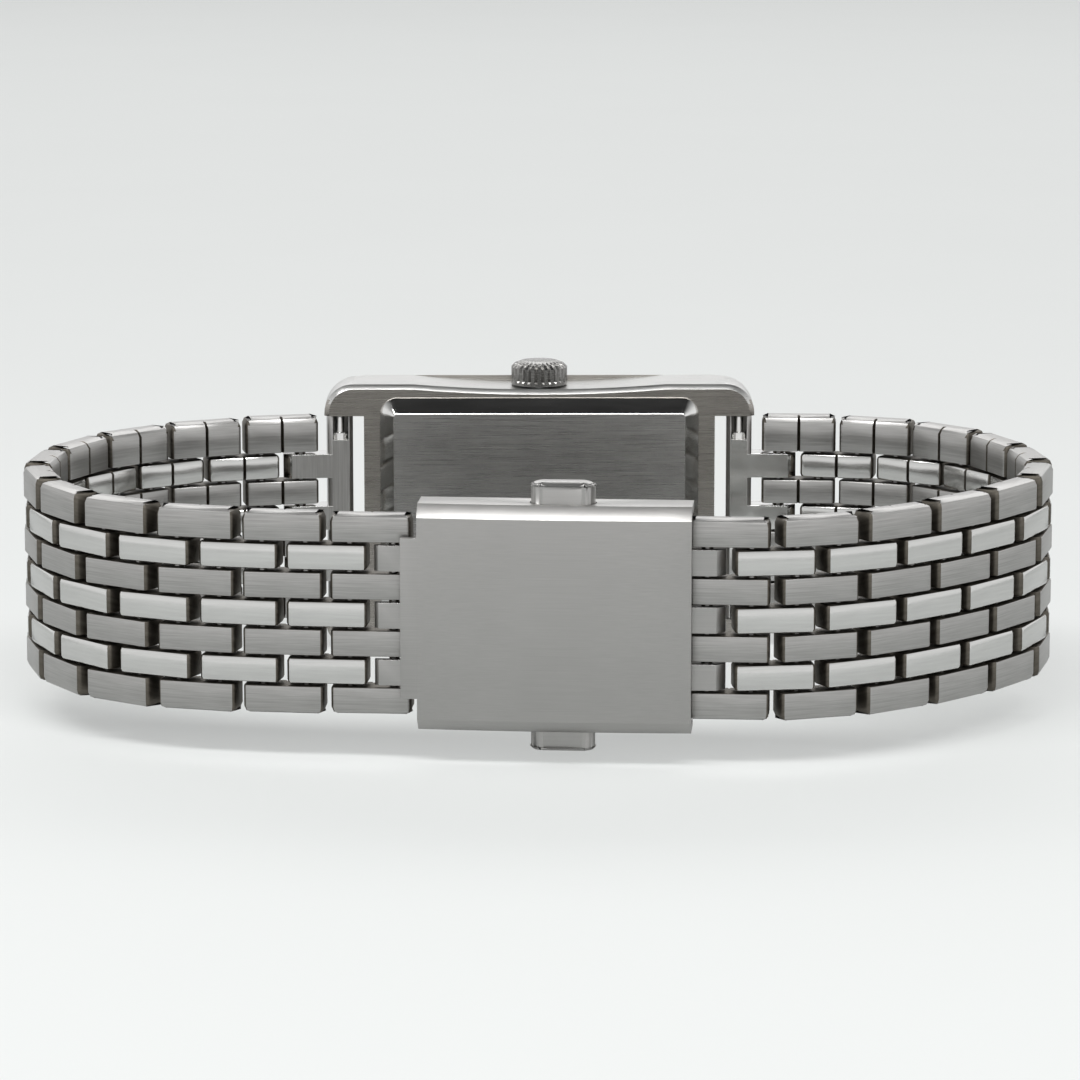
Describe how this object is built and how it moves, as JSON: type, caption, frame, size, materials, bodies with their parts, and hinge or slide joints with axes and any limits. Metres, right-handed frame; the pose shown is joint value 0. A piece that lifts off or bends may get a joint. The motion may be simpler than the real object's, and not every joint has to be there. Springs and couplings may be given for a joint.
{
  "type": "wristwatch",
  "caption": "Rectangular steel wristwatch on a brick-pattern link bracelet, closed, with a raised bevelled case back, fluted crown and a folding clasp with two push buttons.",
  "frame": {"origin": "on the surface the watch stands on, under the middle of the closed watch", "axes": "+X from six o'clock to twelve o'clock, +Y the way the dial faces, +Z from nine o'clock to the crown"},
  "size_m": [0.0856, 0.0518, 0.0254],
  "materials": {
    "brushed_steel": "brushed lengthwise",
    "polished_steel": "polished",
    "crystal": "clear flat glass",
    "seal": "matt",
    "dial": "satin silvered",
    "movement": "plain metal"
  },
  "bodies": {
    "case": {"case_middle": "polished_steel", "crystal": "crystal", "caseback": "polished_steel", "seals": "seal", "dial": "dial", "movement": "movement", "spring_bars": "polished_steel"},
    "button_bottom": {"button_bottom": "polished_steel"},
    "button_top": {"button_top": "polished_steel"},
    "clasp_cover": {"clasp_cover": "brushed_steel"},
    "clasp_inner_leaf": {"clasp_inner_leaf": "brushed_steel"},
    "clasp_middle_leaf": {"clasp_middle_leaf": "brushed_steel"},
    "crown": {"crown": "polished_steel"},
    "hour_hand": {"hour_hand": "polished_steel"},
    "minute_hand": {"minute_hand": "polished_steel"},
    "six_end_piece": {"six_end_piece": "brushed_steel"},
    "six_inner_link_01": {"six_inner_link_01": "polished_steel"},
    "six_inner_link_02": {"six_inner_link_02": "polished_steel"},
    "six_inner_link_03": {"six_inner_link_03": "polished_steel"},
    "six_inner_link_04": {"six_inner_link_04": "polished_steel"},
    "six_inner_link_05": {"six_inner_link_05": "polished_steel"},
    "six_inner_link_06": {"six_inner_link_06": "polished_steel"},
    "six_inner_link_07": {"six_inner_link_07": "polished_steel"},
    "six_inner_link_08": {"six_inner_link_08": "polished_steel"},
    "six_inner_link_09": {"six_inner_link_09": "polished_steel"},
    "six_inner_link_10": {"six_inner_link_10": "polished_steel"},
    "six_outer_link_01": {"six_outer_link_01": "brushed_steel"},
    "six_outer_link_02": {"six_outer_link_02": "brushed_steel"},
    "six_outer_link_03": {"six_outer_link_03": "brushed_steel"},
    "six_outer_link_04": {"six_outer_link_04": "brushed_steel"},
    "six_outer_link_05": {"six_outer_link_05": "brushed_steel"},
    "six_outer_link_06": {"six_outer_link_06": "brushed_steel"},
    "six_outer_link_07": {"six_outer_link_07": "brushed_steel"},
    "six_outer_link_08": {"six_outer_link_08": "brushed_steel"},
    "six_outer_link_09": {"six_outer_link_09": "brushed_steel"},
    "six_outer_link_10": {"six_outer_link_10": "brushed_steel"},
    "six_outer_link_11": {"six_outer_link_11": "brushed_steel"},
    "stem": {"stem": "polished_steel"},
    "twelve_end_piece": {"twelve_end_piece": "brushed_steel"},
    "twelve_inner_link_01": {"twelve_inner_link_01": "polished_steel"},
    "twelve_inner_link_02": {"twelve_inner_link_02": "polished_steel"},
    "twelve_inner_link_03": {"twelve_inner_link_03": "polished_steel"},
    "twelve_inner_link_04": {"twelve_inner_link_04": "polished_steel"},
    "twelve_inner_link_05": {"twelve_inner_link_05": "polished_steel"},
    "twelve_inner_link_06": {"twelve_inner_link_06": "polished_steel"},
    "twelve_inner_link_07": {"twelve_inner_link_07": "polished_steel"},
    "twelve_inner_link_08": {"twelve_inner_link_08": "polished_steel"},
    "twelve_inner_link_09": {"twelve_inner_link_09": "polished_steel"},
    "twelve_inner_link_10": {"twelve_inner_link_10": "polished_steel"},
    "twelve_outer_link_01": {"twelve_outer_link_01": "brushed_steel"},
    "twelve_outer_link_02": {"twelve_outer_link_02": "brushed_steel"},
    "twelve_outer_link_03": {"twelve_outer_link_03": "brushed_steel"},
    "twelve_outer_link_04": {"twelve_outer_link_04": "brushed_steel"},
    "twelve_outer_link_05": {"twelve_outer_link_05": "brushed_steel"},
    "twelve_outer_link_06": {"twelve_outer_link_06": "brushed_steel"},
    "twelve_outer_link_07": {"twelve_outer_link_07": "brushed_steel"},
    "twelve_outer_link_08": {"twelve_outer_link_08": "brushed_steel"},
    "twelve_outer_link_09": {"twelve_outer_link_09": "brushed_steel"},
    "twelve_outer_link_10": {"twelve_outer_link_10": "brushed_steel"},
    "twelve_outer_link_11": {"twelve_outer_link_11": "brushed_steel"}
  },
  "joints": [
    {"name": "twelve_end_piece_pivot", "type": "hinge", "parent": "case", "child": "twelve_end_piece", "pos_m": [0.01759, 0.02091, 0.0118], "axis": [0, 0, 1], "range_deg": [0, 1.62]},
    {"name": "twelve_outer_link_01_pivot", "type": "hinge", "parent": "twelve_end_piece", "child": "twelve_outer_link_01", "pos_m": [0.02109, 0.02081, 0.0118], "axis": [0, 0, 1], "range_deg": [0, 1.62]},
    {"name": "twelve_inner_link_01_pivot", "type": "hinge", "parent": "twelve_outer_link_01", "child": "twelve_inner_link_01", "pos_m": [0.02458, 0.02061, 0.0118], "axis": [0, 0, 1], "range_deg": [0, 8.64]},
    {"name": "twelve_outer_link_02_pivot", "type": "hinge", "parent": "twelve_inner_link_01", "child": "twelve_outer_link_02", "pos_m": [0.02801, 0.01989, 0.0118], "axis": [0, 0, 1], "range_deg": [0, 8.64]},
    {"name": "twelve_inner_link_02_pivot", "type": "hinge", "parent": "twelve_outer_link_02", "child": "twelve_inner_link_02", "pos_m": [0.03128, 0.01867, 0.0118], "axis": [0, 0, 1], "range_deg": [0, 12.33]},
    {"name": "twelve_outer_link_03_pivot", "type": "hinge", "parent": "twelve_inner_link_02", "child": "twelve_outer_link_03", "pos_m": [0.03422, 0.01677, 0.0118], "axis": [0, 0, 1], "range_deg": [0, 12.33]},
    {"name": "twelve_inner_link_03_pivot", "type": "hinge", "parent": "twelve_outer_link_03", "child": "twelve_inner_link_03", "pos_m": [0.03669, 0.01428, 0.0118], "axis": [0, 0, 1], "range_deg": [0, 10.98]},
    {"name": "twelve_outer_link_04_pivot", "type": "hinge", "parent": "twelve_inner_link_03", "child": "twelve_outer_link_04", "pos_m": [0.03864, 0.01138, 0.0118], "axis": [0, 0, 1], "range_deg": [0, 10.98]},
    {"name": "twelve_inner_link_04_pivot", "type": "hinge", "parent": "twelve_outer_link_04", "child": "twelve_inner_link_04", "pos_m": [0.04, 0.00815, 0.0118], "axis": [0, 0, 1], "range_deg": [0, 7.2]},
    {"name": "twelve_outer_link_05_pivot", "type": "hinge", "parent": "twelve_inner_link_04", "child": "twelve_outer_link_05", "pos_m": [0.04094, 0.00478, 0.0118], "axis": [0, 0, 1], "range_deg": [0, 7.2]},
    {"name": "twelve_inner_link_05_pivot", "type": "hinge", "parent": "twelve_outer_link_05", "child": "twelve_inner_link_05", "pos_m": [0.04146, 0.00132, 0.0118], "axis": [0, 0, 1], "range_deg": [0, 11.25]},
    {"name": "twelve_outer_link_06_pivot", "type": "hinge", "parent": "twelve_inner_link_05", "child": "twelve_outer_link_06", "pos_m": [0.04129, -0.00218, 0.0118], "axis": [0, 0, 1], "range_deg": [0, 11.25]},
    {"name": "twelve_inner_link_06_pivot", "type": "hinge", "parent": "twelve_outer_link_06", "child": "twelve_inner_link_06", "pos_m": [0.04044, -0.00557, 0.0118], "axis": [0, 0, 1], "range_deg": [0, 10.89]},
    {"name": "twelve_outer_link_07_pivot", "type": "hinge", "parent": "twelve_inner_link_06", "child": "twelve_outer_link_07", "pos_m": [0.03896, -0.00874, 0.0118], "axis": [0, 0, 1], "range_deg": [0, 10.89]},
    {"name": "twelve_inner_link_07_pivot", "type": "hinge", "parent": "twelve_outer_link_07", "child": "twelve_inner_link_07", "pos_m": [0.03692, -0.01158, 0.0118], "axis": [0, 0, 1], "range_deg": [0, 4.86]},
    {"name": "twelve_outer_link_08_pivot", "type": "hinge", "parent": "twelve_inner_link_07", "child": "twelve_outer_link_08", "pos_m": [0.03463, -0.01424, 0.0118], "axis": [0, 0, 1], "range_deg": [0, 4.86]},
    {"name": "twelve_inner_link_08_pivot", "type": "hinge", "parent": "twelve_outer_link_08", "child": "twelve_inner_link_08", "pos_m": [0.03214, -0.01669, 0.0118], "axis": [0, 0, 1], "range_deg": [0, 4.59]},
    {"name": "twelve_outer_link_09_pivot", "type": "hinge", "parent": "twelve_inner_link_08", "child": "twelve_outer_link_09", "pos_m": [0.02945, -0.01893, 0.0118], "axis": [0, 0, 1], "range_deg": [0, 4.59]},
    {"name": "twelve_inner_link_09_pivot", "type": "hinge", "parent": "twelve_outer_link_09", "child": "twelve_inner_link_09", "pos_m": [0.02659, -0.02095, 0.0118], "axis": [0, 0, 1], "range_deg": [0, 8.73]},
    {"name": "twelve_outer_link_10_pivot", "type": "hinge", "parent": "twelve_inner_link_09", "child": "twelve_outer_link_10", "pos_m": [0.02346, -0.02252, 0.0118], "axis": [0, 0, 1], "range_deg": [0, 8.73]},
    {"name": "twelve_inner_link_10_pivot", "type": "hinge", "parent": "twelve_outer_link_10", "child": "twelve_inner_link_10", "pos_m": [0.02013, -0.02359, 0.0118], "axis": [0, 0, 1], "range_deg": [0, 11.22]},
    {"name": "twelve_outer_link_11_pivot", "type": "hinge", "parent": "twelve_inner_link_10", "child": "twelve_outer_link_11", "pos_m": [0.01665, -0.02399, 0.0118], "axis": [0, 0, 1], "range_deg": [0, 11.22]},
    {"name": "six_end_piece_pivot", "type": "hinge", "parent": "case", "child": "six_end_piece", "pos_m": [-0.01733, 0.02091, 0.0118], "axis": [0, 0, -1], "range_deg": [0, 6.14]},
    {"name": "six_outer_link_01_pivot", "type": "hinge", "parent": "six_end_piece", "child": "six_outer_link_01", "pos_m": [-0.02081, 0.02054, 0.0118], "axis": [0, 0, -1], "range_deg": [0, 6.14]},
    {"name": "six_inner_link_01_pivot", "type": "hinge", "parent": "six_outer_link_01", "child": "six_inner_link_01", "pos_m": [-0.02423, 0.01979, 0.0118], "axis": [0, 0, -1], "range_deg": [0, 5.59]},
    {"name": "six_outer_link_02_pivot", "type": "hinge", "parent": "six_inner_link_01", "child": "six_outer_link_02", "pos_m": [-0.02756, 0.01872, 0.0118], "axis": [0, 0, -1], "range_deg": [0, 5.59]},
    {"name": "six_inner_link_02_pivot", "type": "hinge", "parent": "six_outer_link_02", "child": "six_inner_link_02", "pos_m": [-0.03078, 0.01733, 0.0118], "axis": [0, 0, -1], "range_deg": [0, 9.54]},
    {"name": "six_outer_link_03_pivot", "type": "hinge", "parent": "six_inner_link_02", "child": "six_outer_link_03", "pos_m": [-0.03371, 0.01542, 0.0118], "axis": [0, 0, -1], "range_deg": [0, 9.54]},
    {"name": "six_inner_link_03_pivot", "type": "hinge", "parent": "six_outer_link_03", "child": "six_inner_link_03", "pos_m": [-0.03629, 0.01305, 0.0118], "axis": [0, 0, -1], "range_deg": [0, 10.35]},
    {"name": "six_outer_link_04_pivot", "type": "hinge", "parent": "six_inner_link_03", "child": "six_outer_link_04", "pos_m": [-0.0384, 0.01026, 0.0118], "axis": [0, 0, -1], "range_deg": [0, 10.35]},
    {"name": "six_inner_link_04_pivot", "type": "hinge", "parent": "six_outer_link_04", "child": "six_inner_link_04", "pos_m": [-0.03998, 0.00714, 0.0118], "axis": [0, 0, -1], "range_deg": [0, 9.62]},
    {"name": "six_outer_link_05_pivot", "type": "hinge", "parent": "six_inner_link_04", "child": "six_outer_link_05", "pos_m": [-0.04101, 0.00379, 0.0118], "axis": [0, 0, -1], "range_deg": [0, 9.62]},
    {"name": "six_inner_link_05_pivot", "type": "hinge", "parent": "six_outer_link_05", "child": "six_inner_link_05", "pos_m": [-0.04147, 0.00032, 0.0118], "axis": [0, 0, -1], "range_deg": [0, 11.15]},
    {"name": "six_outer_link_06_pivot", "type": "hinge", "parent": "six_inner_link_05", "child": "six_outer_link_06", "pos_m": [-0.04125, -0.00317, 0.0118], "axis": [0, 0, -1], "range_deg": [0, 11.15]},
    {"name": "six_inner_link_06_pivot", "type": "hinge", "parent": "six_outer_link_06", "child": "six_inner_link_06", "pos_m": [-0.04036, -0.00655, 0.0118], "axis": [0, 0, -1], "range_deg": [0, 8.36]},
    {"name": "six_outer_link_07_pivot", "type": "hinge", "parent": "six_inner_link_06", "child": "six_outer_link_07", "pos_m": [-0.03898, -0.00977, 0.0118], "axis": [0, 0, -1], "range_deg": [0, 8.36]},
    {"name": "six_inner_link_07_pivot", "type": "hinge", "parent": "six_outer_link_07", "child": "six_inner_link_07", "pos_m": [-0.03715, -0.01276, 0.0118], "axis": [0, 0, -1], "range_deg": [0, 11.42]},
    {"name": "six_outer_link_08_pivot", "type": "hinge", "parent": "six_inner_link_07", "child": "six_outer_link_08", "pos_m": [-0.03477, -0.01532, 0.0118], "axis": [0, 0, -1], "range_deg": [0, 11.42]},
    {"name": "six_inner_link_08_pivot", "type": "hinge", "parent": "six_outer_link_08", "child": "six_inner_link_08", "pos_m": [-0.03193, -0.01736, 0.0118], "axis": [0, 0, -1], "range_deg": [0, 9.81]},
    {"name": "six_outer_link_09_pivot", "type": "hinge", "parent": "six_inner_link_08", "child": "six_outer_link_09", "pos_m": [-0.02878, -0.01889, 0.0118], "axis": [0, 0, -1], "range_deg": [0, 9.81]},
    {"name": "six_inner_link_09_pivot", "type": "hinge", "parent": "six_outer_link_09", "child": "six_inner_link_09", "pos_m": [-0.02542, -0.01986, 0.0118], "axis": [0, 0, -1], "range_deg": [0, 4.15]},
    {"name": "six_outer_link_10_pivot", "type": "hinge", "parent": "six_inner_link_09", "child": "six_outer_link_10", "pos_m": [-0.02199, -0.02058, 0.0118], "axis": [0, 0, -1], "range_deg": [0, 4.15]},
    {"name": "six_inner_link_10_pivot", "type": "hinge", "parent": "six_outer_link_10", "child": "six_inner_link_10", "pos_m": [-0.01852, -0.02105, 0.0118], "axis": [0, 0, -1], "range_deg": [0, 1.57]},
    {"name": "six_outer_link_11_pivot", "type": "hinge", "parent": "six_inner_link_10", "child": "six_outer_link_11", "pos_m": [-0.01504, -0.02143, 0.0118], "axis": [0, 0, -1], "range_deg": [0, 1.57]},
    {"name": "clasp_swing", "type": "hinge", "parent": "twelve_outer_link_11", "child": "clasp_inner_leaf", "pos_m": [0.01316, -0.02371, 0.0118], "axis": [0, 0, 1], "range_deg": [0, 30]},
    {"name": "clasp_open", "type": "hinge", "parent": "clasp_inner_leaf", "child": "clasp_middle_leaf", "pos_m": [-0.0063, -0.02184, 0.0118], "axis": [0, 0, -1], "range_deg": [0, 145]},
    {"name": "clasp_cover_pivot", "type": "hinge", "parent": "clasp_middle_leaf", "child": "clasp_cover", "pos_m": [0.00984, -0.02389, 0.0118], "axis": [0, 0, 1], "range_deg": [0, 145]},
    {"name": "button_top_press", "type": "slide", "parent": "clasp_cover", "child": "button_top", "axis": [0, 0, -1], "range_m": [0, 0.0006], "stiffness_N_per_m": 2500},
    {"name": "button_bottom_press", "type": "slide", "parent": "clasp_cover", "child": "button_bottom", "axis": [0, 0, 1], "range_m": [0, 0.0006], "stiffness_N_per_m": 2500},
    {"name": "crown_pull", "type": "slide", "parent": "case", "child": "stem", "axis": [0, 0, 1], "range_m": [0, 0.001]},
    {"name": "crown_turn", "type": "hinge", "parent": "stem", "child": "crown", "pos_m": [0.00013, 0.02241, 0.0246], "axis": [0, 0, 1], "continuous": true},
    {"name": "minute_hand_turn", "type": "hinge", "parent": "case", "child": "minute_hand", "pos_m": [0.00013, 0.02361, 0.0118], "axis": [0, -1, 0], "continuous": true},
    {"name": "hour_hand_turn", "type": "hinge", "parent": "case", "child": "hour_hand", "pos_m": [0.00013, 0.02361, 0.0118], "axis": [0, -1, 0], "continuous": true}
  ],
  "couplings": [
    {"joint": "twelve_end_piece_pivot", "follows": "twelve_inner_link_01_pivot", "ratio": 0.1875},
    {"joint": "twelve_outer_link_01_pivot", "follows": "twelve_inner_link_01_pivot", "ratio": 0.1875},
    {"joint": "twelve_outer_link_02_pivot", "follows": "twelve_inner_link_01_pivot", "ratio": 1},
    {"joint": "six_end_piece_pivot", "follows": "twelve_inner_link_01_pivot", "ratio": 0.71007},
    {"joint": "six_outer_link_01_pivot", "follows": "twelve_inner_link_01_pivot", "ratio": 0.71006},
    {"joint": "six_inner_link_01_pivot", "follows": "twelve_inner_link_01_pivot", "ratio": 0.64708},
    {"joint": "six_outer_link_02_pivot", "follows": "twelve_inner_link_01_pivot", "ratio": 0.64707},
    {"joint": "twelve_outer_link_03_pivot", "follows": "twelve_inner_link_02_pivot", "ratio": 1},
    {"joint": "twelve_inner_link_03_pivot", "follows": "twelve_inner_link_02_pivot", "ratio": 0.89051},
    {"joint": "twelve_outer_link_04_pivot", "follows": "twelve_inner_link_02_pivot", "ratio": 0.89051},
    {"joint": "six_inner_link_02_pivot", "follows": "twelve_inner_link_02_pivot", "ratio": 0.77401},
    {"joint": "six_outer_link_03_pivot", "follows": "twelve_inner_link_02_pivot", "ratio": 0.77402},
    {"joint": "six_inner_link_03_pivot", "follows": "twelve_inner_link_02_pivot", "ratio": 0.83906},
    {"joint": "six_outer_link_04_pivot", "follows": "twelve_inner_link_02_pivot", "ratio": 0.83906},
    {"joint": "twelve_inner_link_04_pivot", "follows": "twelve_inner_link_05_pivot", "ratio": 0.64},
    {"joint": "twelve_outer_link_05_pivot", "follows": "twelve_inner_link_05_pivot", "ratio": 0.64},
    {"joint": "twelve_outer_link_06_pivot", "follows": "twelve_inner_link_05_pivot", "ratio": 1},
    {"joint": "six_inner_link_04_pivot", "follows": "twelve_inner_link_05_pivot", "ratio": 0.85506},
    {"joint": "six_outer_link_05_pivot", "follows": "twelve_inner_link_05_pivot", "ratio": 0.85506},
    {"joint": "six_inner_link_05_pivot", "follows": "twelve_inner_link_05_pivot", "ratio": 0.99081},
    {"joint": "six_outer_link_06_pivot", "follows": "twelve_inner_link_05_pivot", "ratio": 0.99082},
    {"joint": "twelve_inner_link_06_pivot", "follows": "six_outer_link_08_pivot", "ratio": 0.95332},
    {"joint": "twelve_outer_link_07_pivot", "follows": "six_outer_link_08_pivot", "ratio": 0.95332},
    {"joint": "twelve_inner_link_07_pivot", "follows": "six_outer_link_08_pivot", "ratio": 0.42545},
    {"joint": "twelve_outer_link_08_pivot", "follows": "six_outer_link_08_pivot", "ratio": 0.42545},
    {"joint": "six_inner_link_06_pivot", "follows": "six_outer_link_08_pivot", "ratio": 0.73167},
    {"joint": "six_outer_link_07_pivot", "follows": "six_outer_link_08_pivot", "ratio": 0.73168},
    {"joint": "six_inner_link_07_pivot", "follows": "six_outer_link_08_pivot", "ratio": 0.99999},
    {"joint": "twelve_inner_link_08_pivot", "follows": "six_inner_link_08_pivot", "ratio": 0.46788},
    {"joint": "twelve_outer_link_09_pivot", "follows": "six_inner_link_08_pivot", "ratio": 0.46788},
    {"joint": "twelve_inner_link_09_pivot", "follows": "six_inner_link_08_pivot", "ratio": 0.88988},
    {"joint": "six_outer_link_09_pivot", "follows": "six_inner_link_08_pivot", "ratio": 0.99999},
    {"joint": "six_inner_link_09_pivot", "follows": "six_inner_link_08_pivot", "ratio": 0.4227},
    {"joint": "twelve_outer_link_10_pivot", "follows": "twelve_inner_link_10_pivot", "ratio": 0.77807},
    {"joint": "twelve_outer_link_11_pivot", "follows": "twelve_inner_link_10_pivot", "ratio": 1},
    {"joint": "six_outer_link_10_pivot", "follows": "twelve_inner_link_10_pivot", "ratio": 0.36959},
    {"joint": "six_inner_link_10_pivot", "follows": "twelve_inner_link_10_pivot", "ratio": 0.13998},
    {"joint": "six_outer_link_11_pivot", "follows": "twelve_inner_link_10_pivot", "ratio": 0.13999},
    {"joint": "clasp_cover_pivot", "follows": "clasp_open", "ratio": 1},
    {"joint": "hour_hand_turn", "follows": "minute_hand_turn", "ratio": 0.083333}
  ]
}
